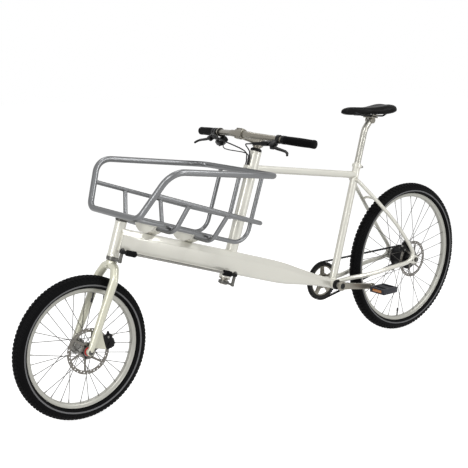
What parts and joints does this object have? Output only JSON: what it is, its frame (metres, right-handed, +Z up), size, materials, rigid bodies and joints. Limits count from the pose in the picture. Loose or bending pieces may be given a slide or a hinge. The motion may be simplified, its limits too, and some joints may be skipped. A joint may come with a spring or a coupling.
{
  "type": "cargo bike",
  "caption": "Long-wheelbase cargo bicycle with a tubular carrier basket between a small front wheel and the rider, linkage steering, disc brakes and a toothed belt drive.",
  "frame": {"origin": "middle of the bounding box on the ground, between the two tyre contact points", "axes": "-X is the direction of travel, +Y is the rider's right, +Z is up"},
  "size_m": [2.213, 0.6598, 1.0059],
  "materials": {
    "pearl_paint": "pearl cream-white gloss",
    "cream_paint": "cream gloss",
    "basket_silver": "silver metallic",
    "satin_aluminium": "satin",
    "steel": "brushed",
    "rim_metal": "satin",
    "black_anodised": "black anodised",
    "belt_rubber": "matte",
    "hose_cover": "semi-gloss",
    "tyre_rubber": "matte",
    "grip_rubber": "matte",
    "pedal_plastic": "matte",
    "saddle_cover": "semi-matte"
  },
  "bodies": {
    "frame": {"head_tube": "pearl_paint", "headset_upper": "satin_aluminium", "main_beam": "pearl_paint", "column_tube": "pearl_paint", "top_tube": "pearl_paint", "seat_tube": "pearl_paint", "seat_clamp": "pearl_paint", "bottom_bracket_shell": "pearl_paint", "chain_stay_left": "pearl_paint", "chain_stay_right": "pearl_paint", "seat_stays": "pearl_paint", "rear_axle": "steel", "drive_belt": "belt_rubber", "rear_caliper": "black_anodised", "basket_rim": "basket_silver", "basket_middle_rail": "basket_silver", "floor_rail_left": "basket_silver", "floor_rail_right": "basket_silver", "front_hoop": "basket_silver", "rear_hoop": "basket_silver", "front_bracket": "pearl_paint", "rear_bracket": "pearl_paint"},
    "steering": {"steering_shaft": "satin_aluminium", "stem": "satin_aluminium", "handlebar": "satin_aluminium", "grip_left": "grip_rubber", "grip_right": "grip_rubber", "brake_mount_left": "black_anodised", "brake_mount_right": "black_anodised", "shifter_body": "black_anodised", "brake_hose_left": "hose_cover", "brake_hose_right": "hose_cover", "shift_cable": "hose_cover", "column_arm": "satin_aluminium"},
    "left_brake_lever": {"brake_lever_left": "black_anodised"},
    "right_brake_lever": {"brake_lever_right": "black_anodised"},
    "shift_up_lever": {"thumb_lever": "black_anodised"},
    "shift_down_lever": {"release_lever": "black_anodised"},
    "steering_link": {"drag_link": "satin_aluminium"},
    "fork_set": {"fork": "cream_paint", "fork_arm": "satin_aluminium", "front_caliper": "black_anodised"},
    "front_wheel": {"front_tyre": "tyre_rubber", "front_rim": "rim_metal", "front_hub": "steel", "front_rotor": "steel"},
    "rear_wheel": {"rear_tyre": "tyre_rubber", "rear_rim": "rim_metal", "rear_hub": "black_anodised", "rear_rotor": "steel"},
    "crankset": {"crank_left": "satin_aluminium", "crank_right": "satin_aluminium", "front_sprocket": "black_anodised"},
    "left_pedal": {"pedal_left": "pedal_plastic"},
    "right_pedal": {"pedal_right": "pedal_plastic"},
    "driven_sprocket": {"rear_sprocket": "steel"},
    "seat": {"seat_post": "satin_aluminium", "saddle_rails": "steel", "saddle": "saddle_cover"}
  },
  "joints": [
    {"name": "handlebar_turn", "type": "hinge", "parent": "frame", "child": "steering", "pos_m": [-0.08764, 0, 0.86], "axis": [0.309, 0, 0.9511], "range_deg": [-30, 30]},
    {"name": "drag_link_swing", "type": "hinge", "parent": "steering", "child": "steering_link", "pos_m": [-0.24088, -0.065, 0.42235], "axis": [0.309, 0, 0.9511], "range_deg": [-30, 30]},
    {"name": "fork_turn", "type": "hinge", "parent": "frame", "child": "fork_set", "pos_m": [-0.71934, 0, 0.555], "axis": [0.309, 0, 0.9511], "range_deg": [-30, 30]},
    {"name": "front_wheel_spin", "type": "hinge", "parent": "fork_set", "child": "front_wheel", "pos_m": [-0.85353, 0, 0.253], "axis": [0, 1, 0], "continuous": true},
    {"name": "rear_wheel_spin", "type": "hinge", "parent": "frame", "child": "rear_wheel", "pos_m": [0.77653, 0, 0.33], "axis": [0, 1, 0], "continuous": true},
    {"name": "crank_spin", "type": "hinge", "parent": "frame", "child": "crankset", "pos_m": [0.32303, 0, 0.285], "axis": [0, 1, 0], "continuous": true},
    {"name": "rear_sprocket_spin", "type": "hinge", "parent": "frame", "child": "driven_sprocket", "pos_m": [0.77653, 0, 0.33], "axis": [0, 1, 0], "continuous": true},
    {"name": "left_pedal_spin", "type": "hinge", "parent": "crankset", "child": "left_pedal", "pos_m": [0.49103, -0.0875, 0.25899], "axis": [0, 1, 0], "continuous": true},
    {"name": "right_pedal_spin", "type": "hinge", "parent": "crankset", "child": "right_pedal", "pos_m": [0.15503, 0.0875, 0.31101], "axis": [0, 1, 0], "continuous": true},
    {"name": "left_lever_pull", "type": "hinge", "parent": "steering", "child": "left_brake_lever", "pos_m": [-0.1644, -0.17851, 0.90033], "axis": [-0.5222, -0.1705, 0.8356], "range_deg": [0, 20], "stiffness_Nm_per_rad": 1, "springref_deg": -5.73},
    {"name": "right_lever_pull", "type": "hinge", "parent": "steering", "child": "right_brake_lever", "pos_m": [-0.1644, 0.17851, 0.90033], "axis": [0.5222, -0.1705, -0.8356], "range_deg": [0, 20], "stiffness_Nm_per_rad": 1, "springref_deg": -5.73},
    {"name": "thumb_lever_push", "type": "hinge", "parent": "steering", "child": "shift_up_lever", "pos_m": [-0.12471, 0.14696, 0.88251], "axis": [-0.5222, 0.1705, 0.8356], "range_deg": [0, 35], "stiffness_Nm_per_rad": 0.05, "springref_deg": -17.19},
    {"name": "release_lever_push", "type": "hinge", "parent": "steering", "child": "shift_down_lever", "pos_m": [-0.12471, 0.14696, 0.88251], "axis": [0.5222, -0.1705, -0.8356], "range_deg": [0, 20], "stiffness_Nm_per_rad": 0.05, "springref_deg": -17.19},
    {"name": "seat_post_slide", "type": "slide", "parent": "frame", "child": "seat", "axis": [0.2554, 0, 0.9668], "range_m": [-0.12, 0.08]}
  ],
  "couplings": [
    {"joint": "fork_turn", "follows": "handlebar_turn", "ratio": 1},
    {"joint": "drag_link_swing", "follows": "handlebar_turn", "ratio": -1},
    {"joint": "rear_sprocket_spin", "follows": "crank_spin", "ratio": 2.0909}
  ]
}
